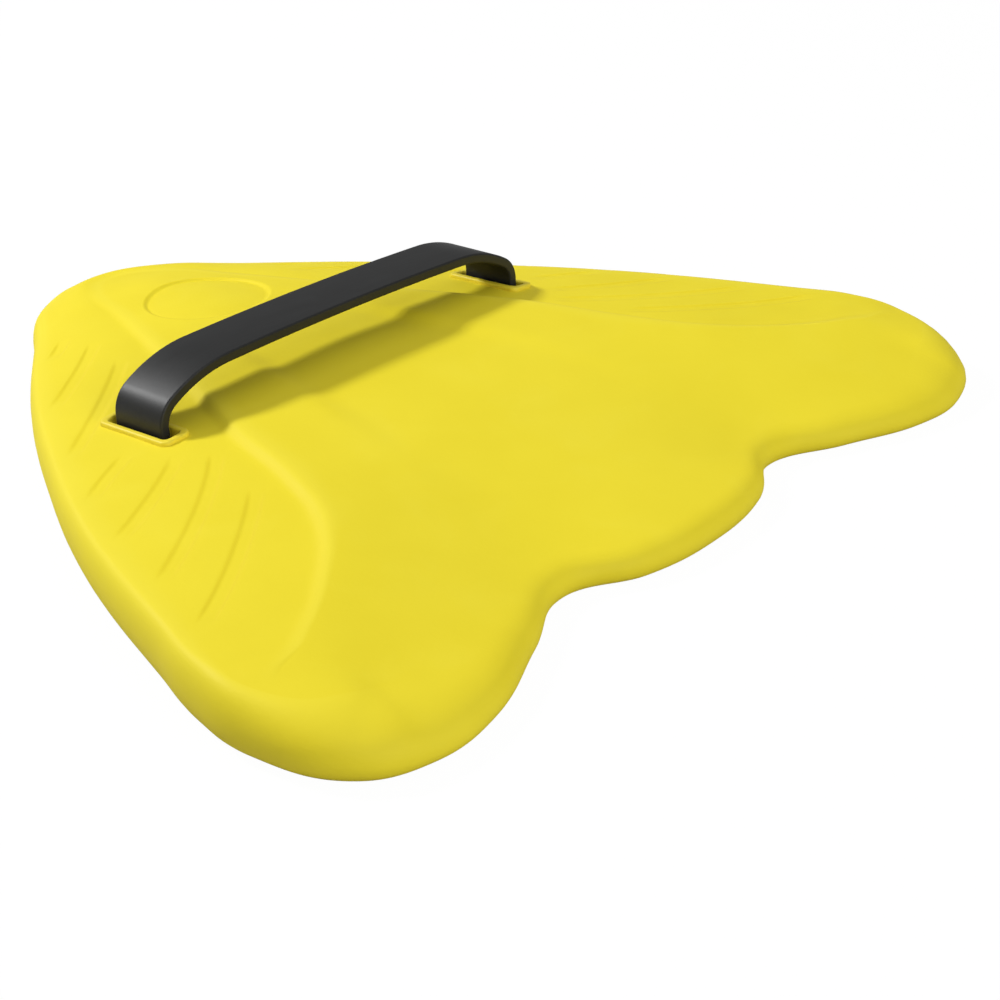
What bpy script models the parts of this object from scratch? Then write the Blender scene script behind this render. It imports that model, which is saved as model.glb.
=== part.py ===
"""Swimming kickboard: a moulded foam board with a rubber hand strap in two lined slots.

Metres, +Z up. The board lies on its flat sole at Z = 0, +Y points to the nose and the
origin is below the middle of the board. The strap runs across the board along X.
"""

import math
from collections import namedtuple

import bmesh
import bpy
import numpy as np
from mathutils import Matrix, Vector
from mathutils.bvhtree import BVHTree

# Board plan
SPAN = 0.400
LENGTH = 0.370

# Board heights above the sole
CROWN = 0.0375
WING_CREST = 0.0228
LEAD_EDGE = 0.026
TAIL_EDGE = 0.0125
LOBE_EDGE = 0.0185
LEAD_MID = 0.015
TAIL_MID = 0.005
LOBE_MID = 0.0035

# Board edge: how far the round runs in from the outline, on the deck and on the sole
LEAD_ROUND = 0.005
TAIL_ROUND = 0.008
LOBE_ROUND = 0.026
LEAD_SOLE = 0.008
TAIL_SOLE = 0.004
EDGE_PULL = 0.55
GRIP_FULLNESS = 1.7

# Deck relief
GRIP_STEP = 0.0030
GRIP_STEP_RUN = 0.006
RIDGE_X = 0.042
RIDGE_AFT_X = 0.063
RIDGE_AFT_RUN = 0.100
RIDGE_RUN = 0.010
VALLEY_DEPTH = 0.0020
VALLEY_REACH_AFT = 0.085
VALLEY_REACH_FORE = 0.045

# Shallow blank medallion on the nose
MEDALLION_Y = 0.262 * LENGTH
MEDALLION_RADIUS = 0.027
MEDALLION_DEPTH = 0.0012

# Finger grooves in each grip zone
GROOVE_COUNT = 7
GROOVE_PITCH = 0.0632 * LENGTH
GROOVE_FIRST_Y = 0.2197 * LENGTH
GROOVE_SLOPE = 0.7416 * LENGTH / SPAN
GROOVE_REF_X = 0.3 * SPAN
GROOVE_WIDTH = 0.005
GROOVE_DEPTH = 0.0014
GROOVE_SLOT_MARGIN = 0.003
GROOVE_DECK_MARGIN = 0.016
GROOVE_EDGE_MARGIN = 0.016
GROOVE_END_REACH = 0.7
GROOVE_END_SHARE = 0.35

# Strap
STRAP_WIDTH = 0.027
STRAP_THICKNESS = 0.0043
STRAP_CORNER = 0.0009
STRAP_LEG_RISE = 0.0059
BEND_RADIUS = 0.011
BEND_TURN = math.radians(59)
SHOULDER_RADIUS = 0.061
SHOULDER_TURN = math.radians(29)
CURL_TURN = math.radians(282)

# Slots through the board and the liners in them
SLOT_X = 0.2525 * SPAN
SLOT_Y = 0.0527 * LENGTH
STRAP_LEAN = 0.0005
SLOT_SIDE_GAP = 0.0018
SLOT_END_GAP = 0.0037
LINER_WALL = 0.0014
LINER_LIP = 0.0028
LINER_LIP_HEIGHT = 0.0043
LINER_SINK = 0.0012

# Pockets in the sole, with the plate and bar that hold each strap end
POCKET_LENGTH = 0.046
POCKET_WIDTH = 0.030
POCKET_DEPTH = 0.0205
POCKET_CORNER = 0.006
PLATE_THICKNESS = 0.0015
BAR_DIAMETER = 0.004
BAR_OVERHANG = 0.005

# Clearances
SEAT_GAP = 0.0003
BAR_GAP = 0.0003

# Mesh fineness
STATION_STEPS = 5
EDGE_STEPS = 4
GRIP_STEPS = 5
STEP_STEPS = 3
DECK_STEPS = 9
CORNER_STEPS = 4
GROOVE_POINT_STEP = 0.008
GROOVE_TRIALS = 200
GROOVE_SIDES = 8
MEDALLION_SIDES = 40
BAR_SIDES = 20
CURL_STEPS = 14
BEND_STEPS = 8
SHOULDER_STEPS = 4
CROWN_STEPS = 8
SMOOTH_ANGLE = math.radians(40)
WELD = 0.000001

Station = namedtuple("Station", "outline crest spine lead lobe rise step grip")
LEAD_STATION = 7
SHARE_RISE = 0.010

# Half of the board from the tail to the nose. Outline and crest points are shares of the
# half span and of the length, spine is the point of the deck's forked middle line behind it.
# Lead runs from 0 on the trailing edge to 1 on the leading edge, lobe rolls the trailing
# edge over, rise lifts the crest from the wing to the crown, step deepens the grip zone, and
# grip is 1 where such a zone lies between the crest and the edge.
STATIONS = (
    Station((0.000, -0.466), (0.000, -0.395), (0.000, -0.345), 0.00, 0.00, 0.00, 0.00, 0),
    Station((0.175, -0.454), (0.168, -0.382), (0.000, -0.300), 0.00, 0.00, 0.00, 0.00, 0),
    Station((0.326, -0.417), (0.330, -0.348), (0.000, -0.230), 0.00, 0.00, 0.00, 0.00, 0),
    Station((0.495, -0.455), (0.480, -0.378), (0.350, -0.281), 0.00, 0.20, 0.00, 0.00, 0),
    Station((0.678, -0.494), (0.640, -0.402), (0.575, -0.327), 0.00, 0.40, 0.00, 0.00, 0),
    Station((0.822, -0.4968), (0.760, -0.410), (0.700, -0.360), 0.08, 0.80, 0.00, 0.00, 0),
    Station((0.935, -0.466), (0.862, -0.405), (0.790, -0.384), 0.35, 1.00, 0.00, 0.00, 0),
    Station((0.998, -0.372), (0.930, -0.385), (0.790, -0.384), 0.80, 0.30, 0.10, 0.00, 0),
    Station((0.986, -0.304), (0.845, -0.362), (0.700, -0.360), 0.98, 0.05, 0.24, 0.20, 1),
    Station((0.945, -0.236), (0.700, -0.312), (0.575, -0.327), 1.00, 0.00, 0.34, 0.60, 1),
    Station((0.856, -0.098), (0.560, -0.240), (0.350, -0.281), 1.00, 0.00, 0.55, 0.90, 1),
    Station((0.787, -0.012), (0.482, -0.153), (0.000, -0.230), 1.00, 0.00, 0.68, 1.00, 1),
    Station((0.706, 0.072), (0.425, -0.052), (0.000, -0.100), 1.00, 0.00, 0.75, 1.00, 1),
    Station((0.523, 0.236), (0.285, 0.133), (0.000, 0.070), 1.00, 0.00, 0.78, 0.90, 1),
    Station((0.320, 0.379), (0.155, 0.313), (0.000, 0.230), 1.00, 0.00, 0.72, 0.50, 1),
    Station((0.191, 0.461), (0.092, 0.404), (0.000, 0.320), 1.00, 0.00, 0.61, 0.15, 1),
    Station((0.000, 0.500), (0.000, 0.447), (0.000, 0.375), 1.00, 0.00, 0.48, 0.00, 1),
)

# Arch of the deck along its middle line, as shares of the length and of the crown
ARCH = ((0.340, 0.950), (0.240, 1.000), (0.060, 0.976), (-0.080, 0.885), (-0.200, 0.745), (-0.310, 0.575),
        (-0.390, 0.435))

SLOT_LENGTH = STRAP_WIDTH + 2 * SLOT_END_GAP
SLOT_WIDTH = STRAP_THICKNESS + 2 * SLOT_SIDE_GAP
SLEEVE_LENGTH = SLOT_LENGTH + 2 * LINER_WALL
SLEEVE_WIDTH = SLOT_WIDTH + 2 * LINER_WALL
LIP_LENGTH = SLOT_LENGTH + 2 * LINER_LIP
LIP_WIDTH = SLOT_WIDTH + 2 * LINER_LIP
LEG_X = SLOT_X + STRAP_LEAN
CURL_RADIUS = BAR_DIAMETER / 2 + BAR_GAP + STRAP_THICKNESS / 2
PLATE_TOP = POCKET_DEPTH - SEAT_GAP
PLATE_BOTTOM = PLATE_TOP - PLATE_THICKNESS
BAR_X = LEG_X - CURL_RADIUS
BAR_Z = PLATE_BOTTOM - SEAT_GAP - CURL_RADIUS - STRAP_THICKNESS / 2

SIDES = (("left", -1), ("right", 1))

YELLOW = (0.86, 0.71, 0.035, 1.0)
LINER_YELLOW = (0.84, 0.68, 0.04, 1.0)
RUBBER_BLACK = (0.035, 0.036, 0.037, 1.0)
PLATE_GREY = (0.10, 0.10, 0.11, 1.0)
STEEL = (0.62, 0.62, 0.63, 1.0)


def clear_scene():
    for thing in list(bpy.data.objects):
        bpy.data.objects.remove(thing, do_unlink=True)


def make_material(name, colour, roughness, metallic=0.0):
    material = bpy.data.materials.new(name)
    material.use_nodes = True
    shader = material.node_tree.nodes["Principled BSDF"]
    shader.inputs["Base Color"].default_value = colour
    shader.inputs["Roughness"].default_value = roughness
    shader.inputs["Metallic"].default_value = metallic
    return material


def make_object(name, bm, material=None):
    bmesh.ops.recalc_face_normals(bm, faces=bm.faces)
    mesh = bpy.data.meshes.new(name)
    bm.to_mesh(mesh)
    bm.free()
    thing = bpy.data.objects.new(name, mesh)
    bpy.context.scene.collection.objects.link(thing)
    if material:
        mesh.materials.append(material)
    mesh.shade_smooth()
    mesh.set_sharp_from_angle(angle=SMOOTH_ANGLE)
    return thing


def make_cutter(name, bm):
    cutter = make_object(name, bm)
    cutter.hide_render = True
    cutter.display_type = "WIRE"
    return cutter


def cut(thing, cutter):
    modifier = thing.modifiers.new(cutter.name, "BOOLEAN")
    modifier.operation = "DIFFERENCE"
    modifier.object = cutter


def mix(first, second, share):
    return first + (second - first) * share


def closed_curve(points):
    """Smooth closed curve through the points, read back as evenly stepped 3-D points."""
    curve = bpy.data.curves.new("station_curve", "CURVE")
    curve.dimensions = "3D"
    curve.resolution_u = STATION_STEPS
    spline = curve.splines.new("BEZIER")
    spline.bezier_points.add(len(points) - 1)
    for knot, point in zip(spline.bezier_points, points):
        knot.co = point
        knot.handle_left_type = "AUTO"
        knot.handle_right_type = "AUTO"
    spline.use_cyclic_u = True
    guide = bpy.data.objects.new("station_curve", curve)
    bpy.context.scene.collection.objects.link(guide)
    bpy.context.view_layer.update()
    mesh = guide.to_mesh()
    ring = np.array([vertex.co[:] for vertex in mesh.vertices])
    guide.to_mesh_clear()
    bpy.data.objects.remove(guide, do_unlink=True)
    bpy.data.curves.remove(curve)
    return ring


def station_ring(place):
    """Closed ring through one 3-D point per station, mirrored to the other half."""
    half = [Vector(place(station)) for station in STATIONS]
    other = [Vector((-point.x, point.y, point.z)) for point in half[-2:0:-1]]
    return closed_curve(half + other)


def plan(point):
    return point[0] * SPAN / 2, point[1] * LENGTH


def inset(ring, distance):
    """Ring moved in from the outline along its plan normals."""
    along = np.roll(ring, -1, axis=0) - np.roll(ring, 1, axis=0)
    normal = np.stack([-along[:, 1], along[:, 0], np.zeros(len(ring))], axis=1)
    normal /= np.linalg.norm(normal, axis=1)[:, None]
    return ring + normal * distance[:, None]


def smooth_share(value):
    value = np.clip(value, 0, 1)
    return value * value * (3 - 2 * value)


def plate_kernel(apart):
    return apart ** 2 * np.log(np.maximum(apart, WELD))


def bent_plate(knots):
    """Height over the plan of a thin plate that is bent to pass through the knots."""
    count = len(knots)
    apart = np.linalg.norm(knots[:, None, :2] - knots[None, :, :2], axis=2)
    flat = np.column_stack([np.ones(count), knots[:, :2]])
    system = np.block([[plate_kernel(apart), flat], [flat.T, np.zeros((3, 3))]])
    weights = np.linalg.solve(system, np.concatenate([knots[:, 2], np.zeros(3)]))

    def height(points):
        apart = np.linalg.norm(points[:, None, :2] - knots[None, :, :2], axis=2)
        tilt = weights[count] + points[:, :2] @ weights[count + 1:]
        return plate_kernel(apart) @ weights[:count] + tilt

    return height


def deck_relief(points):
    """Lower middle panel of the deck between two splayed ridges, fading fore and aft."""
    aft = SLOT_Y - points[:, 1]
    fade = np.exp(-(aft / np.where(aft > 0, VALLEY_REACH_AFT, VALLEY_REACH_FORE)) ** 2)
    ridge = mix(RIDGE_X, RIDGE_AFT_X, aft / RIDGE_AFT_RUN)
    return -VALLEY_DEPTH * fade * smooth_share((ridge - np.abs(points[:, 0])) / RIDGE_RUN)


def share_rings(names):
    """Station values per ring point, the same on both halves."""
    rings = []
    for name in names:
        ring = station_ring(lambda station: (*plan(station.outline), getattr(station, name) * SHARE_RISE))
        rings.append(ring[:, 2] / SHARE_RISE)
    return rings


def spine_ring():
    """The deck's forked middle line, run from the tail to the nose and back."""
    spots = np.array([(*plan(station.spine), 0.0) for station in STATIONS])
    places = np.arange(len(STATIONS))
    steps = np.arange(places[-1] * STATION_STEPS + 1) / STATION_STEPS
    half = np.column_stack([np.interp(steps, places, spots[:, axis]) for axis in range(3)])
    return np.concatenate([half, half[-2:0:-1] * (-1, 1, 1)])


def board_rings():
    """Rings from the sole round the edge and over the deck to its middle line."""
    outline = station_ring(lambda s: (*plan(s.outline), 0.0))
    crest = station_ring(lambda s: (*plan(s.crest), mix(WING_CREST, CROWN, s.rise)))
    lead, lobe, step, grip = np.clip(share_rings(("lead", "lobe", "step", "grip")), 0, 1)

    outline[:, 2] = mix(mix(TAIL_MID, LOBE_MID, lobe), LEAD_MID, lead)
    edge = inset(outline, mix(mix(TAIL_ROUND, LOBE_ROUND, lobe), LEAD_ROUND, lead))
    edge[:, 2] = mix(mix(TAIL_EDGE, LOBE_EDGE, lobe), LEAD_EDGE, lead)
    sole = inset(outline, mix(TAIL_SOLE, LEAD_SOLE, lead))
    sole[:, 2] = 0.0
    rim = mix(edge, crest, grip[:, None])
    arch = [(0.0, y * LENGTH, height * CROWN) for y, height in ARCH]
    deck = bent_plate(np.concatenate([rim, arch]))

    outward = edge - crest
    outward[:, 2] = 0.0
    reach = np.linalg.norm(outward, axis=1)[:, None]
    foot = crest + outward / reach * np.minimum(GRIP_STEP_RUN, reach / 2)
    foot[:, 2] = crest[:, 2] - GRIP_STEP * step
    upper = []
    for index in range(GRIP_STEPS + 1):
        share = index / GRIP_STEPS
        ring = mix(edge, foot, share)
        bare = mix(edge[:, 2], foot[:, 2], 1 - (1 - share) ** GRIP_FULLNESS)
        ring[:, 2] = mix(deck(ring), bare, grip)
        upper.append(ring)
    for index in range(1, STEP_STEPS + 1):
        share = index / STEP_STEPS
        ring = mix(foot, crest, share)
        bare = mix(foot[:, 2], crest[:, 2], smooth_share(share))
        ring[:, 2] = mix(deck(ring), bare, grip)
        upper.append(ring)
    spine = spine_ring()
    for index in range(1, DECK_STEPS + 1):
        share = index / DECK_STEPS
        ring = mix(crest, spine, share)
        ring[:, 2] = deck(ring) + deck_relief(ring)
        upper.append(ring)

    rings = []
    for index in range(EDGE_STEPS + 1):
        turn = math.pi / 2 * index / EDGE_STEPS
        ring = mix(sole, outline, math.sin(turn))
        ring[:, 2] = outline[:, 2] * (1 - math.cos(turn))
        rings.append(ring)
    ahead = upper[1] - upper[0]
    slope = ahead[:, 2] / np.linalg.norm(ahead[:, :2], axis=1) * (1 - lead)
    run = np.linalg.norm(edge[:, :2] - outline[:, :2], axis=1)
    low_pull = outline[:, 2] + EDGE_PULL * (edge[:, 2] - slope * run - outline[:, 2])
    high_pull = edge[:, 2] - EDGE_PULL * slope * run
    for index in range(1, EDGE_STEPS):
        share = index / EDGE_STEPS
        back = 1 - share
        ring = mix(outline, edge, 3 * back * share ** 2 * (1 - EDGE_PULL) + share ** 3)
        ring[:, 2] = back ** 3 * outline[:, 2] + 3 * back ** 2 * share * low_pull
        ring[:, 2] += 3 * back * share ** 2 * high_pull + share ** 3 * edge[:, 2]
        rings.append(ring)
    return rings + upper


def start_ring(bm, points):
    """Closed ring of edges through the points."""
    verts = [bm.verts.new(point) for point in points]
    for index, vert in enumerate(verts):
        bm.edges.new((verts[index - 1], vert))
    return verts


def ring_edges(bm, verts):
    return [bm.edges.get((verts[index - 1], vert)) for index, vert in enumerate(verts)]


def grow_ring(bm, verts, points):
    """Extrude a ring into a band and carry the band's far ring to the points."""
    grown = bmesh.ops.extrude_edge_only(bm, edges=ring_edges(bm, verts))["geom"]
    copies = set()
    for item in grown:
        if isinstance(item, bmesh.types.BMEdge):
            copies.update(item.verts)
    far = []
    for vert, point in zip(verts, points):
        copy = next(other for other in (e.other_vert(vert) for e in vert.link_edges) if other in copies)
        copy.co = point
        far.append(copy)
    return far


def fill_ring(bm, verts):
    return bmesh.ops.contextual_create(bm, geom=ring_edges(bm, verts))["faces"]


def board_mesh():
    rings = board_rings()
    bm = bmesh.new()
    verts = start_ring(bm, rings[0])
    fill_ring(bm, verts)
    for ring in rings[1:]:
        verts = grow_ring(bm, verts, ring)
    bmesh.ops.remove_doubles(bm, verts=verts, dist=WELD)
    return bm


def rounded_loop(length, width, corner, height):
    """Points of a rounded rectangle in plan, width along X and length along Y."""
    points = []
    for quarter, (side_x, side_y) in enumerate(((1, 1), (-1, 1), (-1, -1), (1, -1))):
        middle = Vector((side_x * (width / 2 - corner), side_y * (length / 2 - corner), height))
        for index in range(CORNER_STEPS + 1):
            turn = math.pi / 2 * (quarter + index / CORNER_STEPS)
            points.append(middle + corner * Vector((math.cos(turn), math.sin(turn), 0)))
    return points


def rounded_prism(bm, length, width, corner, bottom, top, place):
    """Upright prism with a rounded rectangle in plan."""
    verts = start_ring(bm, [point + place for point in rounded_loop(length, width, corner, bottom)])
    fill_ring(bm, verts)
    verts = grow_ring(bm, verts, [point + place for point in rounded_loop(length, width, corner, top)])
    fill_ring(bm, verts)


def rounded_ring(loops, place):
    """Closed ring of material whose section runs through the given rounded loops."""
    bm = bmesh.new()
    rings = [[point + place for point in rounded_loop(*loop)] for loop in loops]
    verts = start_ring(bm, rings[0])
    for ring in rings[1:] + rings[:1]:
        verts = grow_ring(bm, verts, ring)
    bmesh.ops.remove_doubles(bm, verts=bm.verts, dist=WELD)
    return bm


def slot_place(side):
    return Vector((side * SLOT_X, SLOT_Y, 0))


def liner_seat(deck):
    """Height of the ledge under the liner's lip, let into the lowest deck beside it."""
    heights = []
    for across in (-0.5, 0.5):
        for along in (-0.5, 0.5):
            heights.append(deck_height(deck, SLOT_X + across * LIP_WIDTH, SLOT_Y + along * LIP_LENGTH))
    return min(heights) - LINER_SINK


def slot_cutters(seat):
    """Seat, slot and pocket for each strap end, as three pairs of prisms."""
    above = CROWN + LINER_LIP_HEIGHT
    sizes = (
        ("liner_seats", LIP_LENGTH, LIP_WIDTH, LIP_WIDTH / 4, seat, above, SEAT_GAP),
        ("strap_slots", SLEEVE_LENGTH, SLEEVE_WIDTH, SLEEVE_WIDTH / 4, POCKET_DEPTH / 2, above, SEAT_GAP),
        ("sole_pockets", POCKET_LENGTH, POCKET_WIDTH, POCKET_CORNER, -POCKET_DEPTH, POCKET_DEPTH, 0.0),
    )
    cutters = []
    for name, length, width, corner, bottom, top, gap in sizes:
        bm = bmesh.new()
        for _, side in SIDES:
            place = slot_place(side)
            rounded_prism(bm, length + 2 * gap, width + 2 * gap, corner + gap, bottom, top, place)
        cutters.append(make_cutter(name, bm))
    return cutters


def medallion_cutter(deck):
    """Shallow disc sunk in the deck near the nose."""
    floor = deck_height(deck, 0.0, MEDALLION_Y) - MEDALLION_DEPTH
    depth = CROWN - floor + MEDALLION_RADIUS
    bm = bmesh.new()
    place = Matrix.Translation((0, MEDALLION_Y, floor + depth / 2))
    bmesh.ops.create_cone(
        bm, cap_ends=True, segments=MEDALLION_SIDES, radius1=MEDALLION_RADIUS, radius2=MEDALLION_RADIUS,
        depth=depth, matrix=place)
    return make_cutter("medallion", bm)


def deck_height(deck, x, y):
    hit = deck.ray_cast(Vector((x, y, 1.0)), Vector((0, 0, -1)))[0]
    return hit.z


def lead_edge_x(ring, y):
    """Half width of a station ring at y, along the leading edge."""
    first = LEAD_STATION * STATION_STEPS
    last = (len(STATIONS) - 1) * STATION_STEPS + 1
    return np.interp(y, ring[first:last, 1], ring[first:last, 0])


def groove_y(index, x):
    return GROOVE_FIRST_Y - index * GROOVE_PITCH - GROOVE_SLOPE * (x - GROOVE_REF_X)


def groove_run(outline, crest, index):
    """Plan points of one finger groove on the right half, from the deck side to the edge."""
    clear_x = LIP_WIDTH / 2 + GROOVE_WIDTH / 2 + GROOVE_SLOT_MARGIN
    clear_y = LIP_LENGTH / 2 + GROOVE_WIDTH / 2 + GROOVE_SLOT_MARGIN
    reach = []
    for x in np.linspace(0.0, SPAN / 2, GROOVE_TRIALS):
        y = groove_y(index, x)
        if abs(x - SLOT_X) < clear_x and abs(y - SLOT_Y) < clear_y:
            reach = []
        elif lead_edge_x(crest, y) + GROOVE_DECK_MARGIN < x < lead_edge_x(outline, y) - GROOVE_EDGE_MARGIN:
            reach.append(x)
    count = max(2, round((reach[-1] - reach[0]) / GROOVE_POINT_STEP) + 1)
    return [(x, groove_y(index, x)) for x in np.linspace(reach[0], reach[-1], count)]


def groove_cutter(deck):
    """Round-ended rods half sunk along the finger grooves of both grip zones."""
    radius = ((GROOVE_WIDTH / 2) ** 2 + GROOVE_DEPTH ** 2) / (2 * GROOVE_DEPTH)
    outline = station_ring(lambda s: (*plan(s.outline), 0.0))
    crest = station_ring(lambda s: (*plan(s.crest), 0.0))
    bm = bmesh.new()
    for index in range(GROOVE_COUNT):
        run = groove_run(outline, crest, index)
        for _, side in SIDES:
            add_rod(bm, deck, [(side * x, y) for x, y in run], radius)
    return make_cutter("finger_grooves", bm)


def add_rod(bm, deck, run, radius):
    """Rod along the run whose tapered ends lift out of the deck."""
    points = [Vector((x, y, deck_height(deck, x, y) + radius - GROOVE_DEPTH)) for x, y in run]
    ahead = (points[-1] - points[0]).normalized()
    reach = ahead * radius * GROOVE_END_REACH
    sections = [(points[0] - reach, GROOVE_END_SHARE)]
    sections += [(point, 1.0) for point in points]
    sections += [(points[-1] + reach, GROOVE_END_SHARE)]
    frame = ahead.to_track_quat("Z", "Y").to_matrix()
    verts = None
    for middle, share in sections:
        loop = []
        for step in range(GROOVE_SIDES):
            turn = 2 * math.pi * step / GROOVE_SIDES
            spoke = frame @ Vector((math.cos(turn), math.sin(turn), 0))
            loop.append(middle + spoke * radius * share)
        if verts:
            verts = grow_ring(bm, verts, loop)
        else:
            verts = start_ring(bm, loop)
            fill_ring(bm, verts)
    fill_ring(bm, verts)


def make_board(bm, deck, seat, material):
    board = make_object("board_body", bm, material)
    for cutter in slot_cutters(seat):
        cut(board, cutter)
    cut(board, medallion_cutter(deck))
    cut(board, groove_cutter(deck))
    return board


def make_liner(name, side, seat, material):
    """Sleeve through the slot, with a raised lip on the deck."""
    bottom = POCKET_DEPTH
    under = seat + SEAT_GAP
    top = seat + LINER_LIP_HEIGHT
    easing = LINER_LIP / 4
    corner = SLOT_WIDTH / 4
    sleeve_corner = SLEEVE_WIDTH / 4
    lip_corner = LIP_WIDTH / 4
    loops = (
        (SLOT_LENGTH, SLOT_WIDTH, corner, bottom),
        (SLOT_LENGTH, SLOT_WIDTH, corner, top - easing),
        (SLOT_LENGTH + 2 * easing, SLOT_WIDTH + 2 * easing, corner + easing, top),
        (LIP_LENGTH - 2 * easing, LIP_WIDTH - 2 * easing, lip_corner - easing, top),
        (LIP_LENGTH, LIP_WIDTH, lip_corner, top - easing),
        (LIP_LENGTH, LIP_WIDTH, lip_corner, under),
        (SLEEVE_LENGTH, SLEEVE_WIDTH, sleeve_corner, under),
        (SLEEVE_LENGTH, SLEEVE_WIDTH, sleeve_corner, bottom),
    )
    return make_object(name, rounded_ring(loops, slot_place(side)), material)


def make_plate(name, side, material):
    """Load-spreading plate on the roof of the pocket, with a slot for the strap."""
    length = POCKET_LENGTH - 2 * SEAT_GAP
    width = POCKET_WIDTH - 2 * SEAT_GAP
    corner = POCKET_CORNER - SEAT_GAP
    hole = (SLOT_LENGTH, SLOT_WIDTH, SLOT_WIDTH / 4)
    loops = (
        (*hole, PLATE_BOTTOM),
        (*hole, PLATE_TOP),
        (length, width, corner, PLATE_TOP),
        (length, width, corner, PLATE_BOTTOM),
    )
    return make_object(name, rounded_ring(loops, slot_place(side)), material)


def make_bar(name, side, material):
    """Round bar through the curled strap end, longer than the slot."""
    bm = bmesh.new()
    length = STRAP_WIDTH + 2 * BAR_OVERHANG
    upright = Matrix.Rotation(math.pi / 2, 4, "X")
    bmesh.ops.create_cone(
        bm, cap_ends=True, segments=BAR_SIDES, radius1=BAR_DIAMETER / 2, radius2=BAR_DIAMETER / 2,
        depth=length, matrix=upright)
    rims = [edge for edge in bm.edges if abs(edge.verts[0].co.y - edge.verts[1].co.y) < length / 2]
    bmesh.ops.bevel(
        bm, geom=rims, offset=BAR_DIAMETER / 8, offset_type="OFFSET", segments=2, profile=0.5,
        affect="EDGES", material=-1)
    bar = make_object(name, bm, material)
    bar.location = (side * BAR_X, SLOT_Y, BAR_Z)
    return bar


def strap_section(bm):
    """Rounded strap section in the plane Y, Z, centred on the origin."""
    verts = []
    for point in rounded_loop(STRAP_WIDTH, STRAP_THICKNESS, STRAP_CORNER, 0.0):
        verts.append(bm.verts.new((0, point.y, point.x)))
    return bm.faces.new(verts)


def drop_inner(bm, faces):
    """Remove the faces left inside the band where a new stretch starts."""
    inner = [face for face in faces if face.is_valid and not any(edge.is_boundary for edge in face.edges)]
    inner = [face for face in inner if all(len(edge.link_faces) > 2 for edge in face.edges)]
    bmesh.ops.delete(bm, geom=inner, context="FACES_ONLY")


def bend(bm, faces, centre, turn, steps):
    """Carry the strap's end round an axis along Y."""
    grown = bmesh.ops.spin(
        bm, geom=faces, cent=centre, axis=(0, 1, 0), angle=turn, steps=steps, use_duplicate=False)
    drop_inner(bm, faces)
    return [item for item in grown["geom_last"] if isinstance(item, bmesh.types.BMFace)]


def run_straight(bm, faces, move):
    grown = bmesh.ops.extrude_face_region(bm, geom=faces)["geom"]
    verts = [item for item in grown if isinstance(item, bmesh.types.BMVert)]
    bmesh.ops.translate(bm, verts=verts, vec=move)
    drop_inner(bm, faces)
    return [item for item in grown if isinstance(item, bmesh.types.BMFace)]


def make_strap(seat, material):
    """One flat band: curl, leg, bends, crown, and the same again down the other side."""
    leg_top = seat + STRAP_LEG_RISE
    shoulder_end = BEND_TURN + SHOULDER_TURN
    shoulder_x = -LEG_X + BEND_RADIUS * (1 - math.cos(BEND_TURN))
    shoulder_x += SHOULDER_RADIUS * (math.cos(BEND_TURN) - math.cos(shoulder_end))
    crown_radius = -shoulder_x / math.cos(shoulder_end)
    bend_centre = Vector((-LEG_X + BEND_RADIUS, SLOT_Y, leg_top))
    toward = Vector((-math.cos(BEND_TURN), 0, math.sin(BEND_TURN)))
    shoulder_centre = bend_centre + toward * (BEND_RADIUS - SHOULDER_RADIUS)
    toward = Vector((-math.cos(shoulder_end), 0, math.sin(shoulder_end)))
    crown_centre = shoulder_centre + toward * (SHOULDER_RADIUS - crown_radius)
    crown_centre.x = 0.0
    crown_turn = math.pi - 2 * shoulder_end

    bm = bmesh.new()
    curl_centre = Vector((-BAR_X, SLOT_Y, BAR_Z))
    face = strap_section(bm)
    bmesh.ops.translate(bm, verts=face.verts, vec=(-LEG_X, SLOT_Y, BAR_Z))
    upright = Matrix.Rotation(-math.pi / 2, 3, "Y")
    bmesh.ops.rotate(bm, verts=face.verts, cent=(-LEG_X, SLOT_Y, BAR_Z), matrix=upright)
    bmesh.ops.rotate(
        bm, verts=face.verts, cent=curl_centre, matrix=Matrix.Rotation(-CURL_TURN, 3, "Y"))
    tip = [face]
    end = bend(bm, tip, curl_centre, CURL_TURN, CURL_STEPS)
    end = run_straight(bm, end, Vector((0, 0, leg_top - BAR_Z)))
    end = bend(bm, end, bend_centre, BEND_TURN, BEND_STEPS)
    end = bend(bm, end, shoulder_centre, SHOULDER_TURN, SHOULDER_STEPS)
    end = bend(bm, end, crown_centre, crown_turn, CROWN_STEPS)
    across = Vector((-1, 1, 1))
    end = bend(bm, end, shoulder_centre * across, SHOULDER_TURN, SHOULDER_STEPS)
    end = bend(bm, end, bend_centre * across, BEND_TURN, BEND_STEPS)
    end = run_straight(bm, end, Vector((0, 0, BAR_Z - leg_top)))
    bend(bm, end, curl_centre * across, CURL_TURN, CURL_STEPS)
    return make_object("hand_strap", bm, material)


def main():
    clear_scene()
    foam = make_material("board_foam", YELLOW, 0.55)
    liner = make_material("liner_plastic", LINER_YELLOW, 0.5)
    rubber = make_material("strap_rubber", RUBBER_BLACK, 0.5)
    plate = make_material("plate_plastic", PLATE_GREY, 0.45)
    steel = make_material("bar_steel", STEEL, 0.3, 1.0)
    bm = board_mesh()
    deck = BVHTree.FromBMesh(bm)
    seat = liner_seat(deck)
    make_board(bm, deck, seat, foam)
    make_strap(seat, rubber)
    for word, side in SIDES:
        make_liner("slot_liner_" + word, side, seat, liner)
        make_plate("anchor_plate_" + word, side, plate)
        make_bar("anchor_bar_" + word, side, steel)


main()
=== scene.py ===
"""Swimming kickboard: the look of a moulded foam board with a rubber hand strap.

Metres, +Z up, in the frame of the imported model: the board lies on its sole at Z = 0 and
its nose points along +Y.
"""

import math
from collections import namedtuple
from functools import partial

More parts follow.
